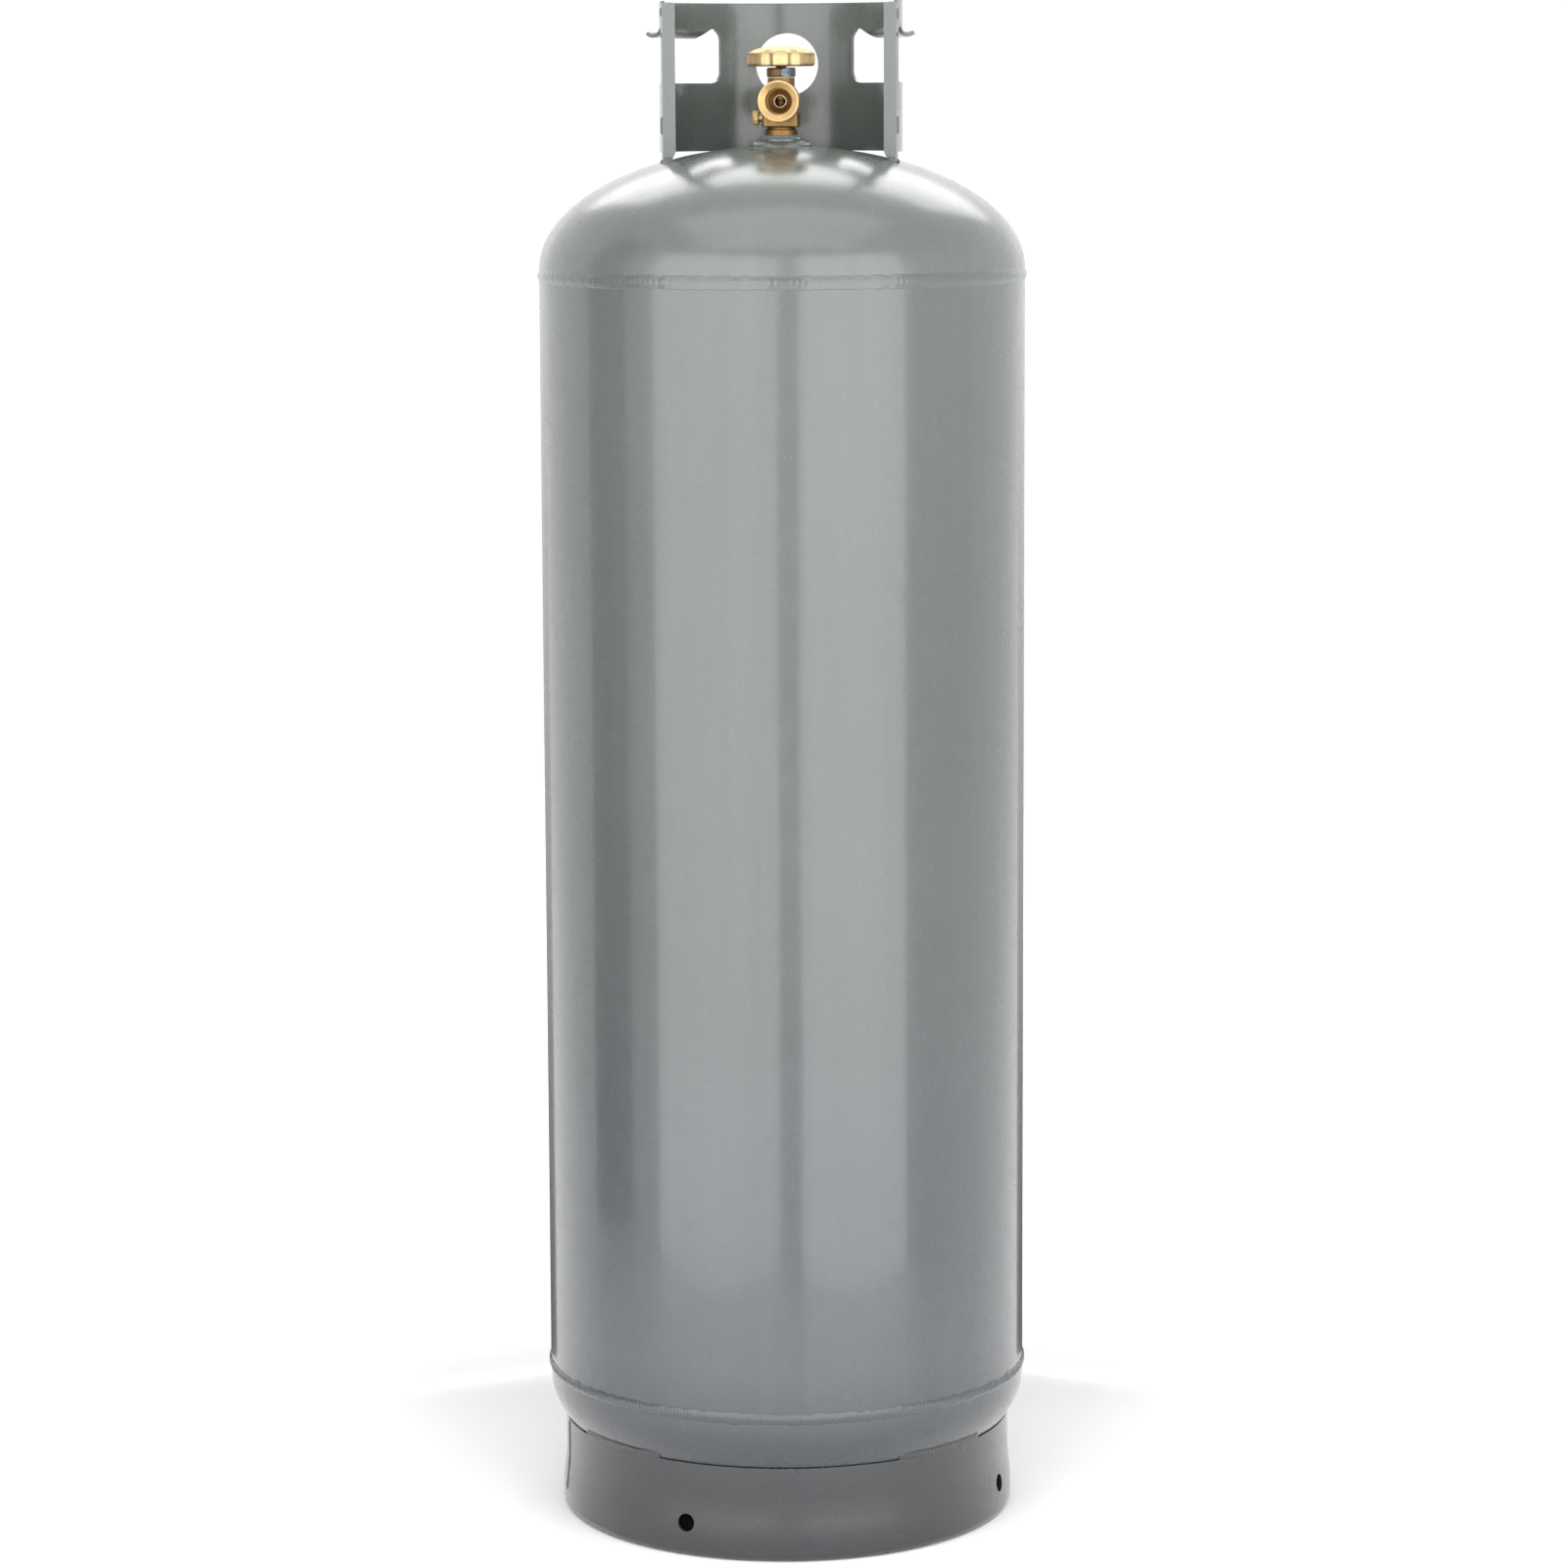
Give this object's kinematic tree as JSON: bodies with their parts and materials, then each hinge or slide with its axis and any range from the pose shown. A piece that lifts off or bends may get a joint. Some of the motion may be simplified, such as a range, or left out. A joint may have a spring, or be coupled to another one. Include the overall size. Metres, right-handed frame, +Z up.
{
  "type": "propane tank",
  "caption": "Tall upright steel gas cylinder with domed ends, a foot ring, an open valve collar with hand holes, and a brass outlet valve with a lobed handwheel.",
  "frame": {"origin": "centre of the foot ring where it rests on the floor", "axes": "+Z up along the cylinder axis, -Y out of the valve outlet toward the front, +X to the right seen from the front"},
  "size_m": [0.3804, 0.3804, 1.187],
  "materials": {
    "tank_paint": "glossy grey enamel over steel",
    "brass": "machined and cast brass",
    "dark_brass": "dull oxidised brass",
    "wheel_brass": "tumbled cast brass",
    "seat_metal": "pinkish machined metal",
    "zinc_steel": "zinc plated",
    "spring_steel": "drawn stainless wire",
    "tube_aluminium": "drawn tube",
    "seal_plastic": "nylon",
    "blue_sealant": "cured thread sealant",
    "cap_plastic": "moulded polyethylene",
    "rubber": "black nitrile rubber"
  },
  "bodies": {
    "cylinder": {"top_head": "tank_paint", "shell": "tank_paint", "bottom_head": "tank_paint", "top_girth_weld": "tank_paint", "bottom_girth_weld": "tank_paint", "shell_seam_weld": "tank_paint", "foot_ring": "tank_paint", "foot_ring_welds": "tank_paint", "foot_ring_seam_weld": "tank_paint", "valve_boss": "tank_paint", "boss_weld": "tank_paint", "collar_plate": "tank_paint", "left_collar_post": "tank_paint", "right_collar_post": "tank_paint", "collar_leg_welds": "tank_paint", "collar_post_welds": "tank_paint", "thread_sealant": "blue_sealant", "valve_body": "brass", "outlet_seat_ring": "seat_metal", "bonnet": "dark_brass", "bonnet_gasket": "seal_plastic", "bonnet_lock_plate": "zinc_steel", "bonnet_lock_pin": "zinc_steel", "stem_seal_rings": "rubber", "dip_tube": "tube_aluminium", "relief_retainer": "brass", "relief_spring": "spring_steel"},
    "handwheel_and_stem": {"handwheel": "wheel_brass", "handwheel_screw": "zinc_steel", "valve_stem": "brass"},
    "seat_carrier": {"seat_holder": "brass", "seat_disc": "seal_plastic"},
    "spindle_body": {"spindle": "brass"},
    "bleeder_knob": {"bleeder_screw": "brass", "bleeder_seat": "seal_plastic"},
    "relief_moving": {"relief_poppet": "brass", "relief_disc": "rubber"},
    "dust_cap": {"relief_cap": "cap_plastic"}
  },
  "joints": [
    {"name": "handwheel_turn", "type": "hinge", "parent": "cylinder", "child": "handwheel_and_stem", "pos_m": [0, 0, 1.142], "axis": [0, 0, 1], "range_deg": [0, 810]},
    {"name": "seat_lift", "type": "slide", "parent": "cylinder", "child": "seat_carrier", "axis": [0, 0, 1], "range_m": [0, 0.0029]},
    {"name": "spindle_turn", "type": "hinge", "parent": "seat_carrier", "child": "spindle_body", "pos_m": [0, 0, 1.11], "axis": [0, 0, 1], "range_deg": [0, 810]},
    {"name": "bleeder_turn", "type": "hinge", "parent": "cylinder", "child": "bleeder_knob", "pos_m": [-0.018, 0, 1.0975], "axis": [-1, 0, 0], "range_deg": [0, 360]},
    {"name": "relief_lift", "type": "slide", "parent": "cylinder", "child": "relief_moving", "axis": [0, 1, 0], "range_m": [0, 0.0025], "stiffness_N_per_m": 5000, "springref_m": -0.003, "deforming": ["relief_spring"]},
    {"name": "dust_cap_pull", "type": "slide", "parent": "cylinder", "child": "dust_cap", "axis": [0, 1, 0], "range_m": [0, 0.012]}
  ],
  "couplings": [
    {"joint": "seat_lift", "follows": "handwheel_turn", "m_per_rad": 0.00020213},
    {"joint": "spindle_turn", "follows": "handwheel_turn", "ratio": 1}
  ]
}
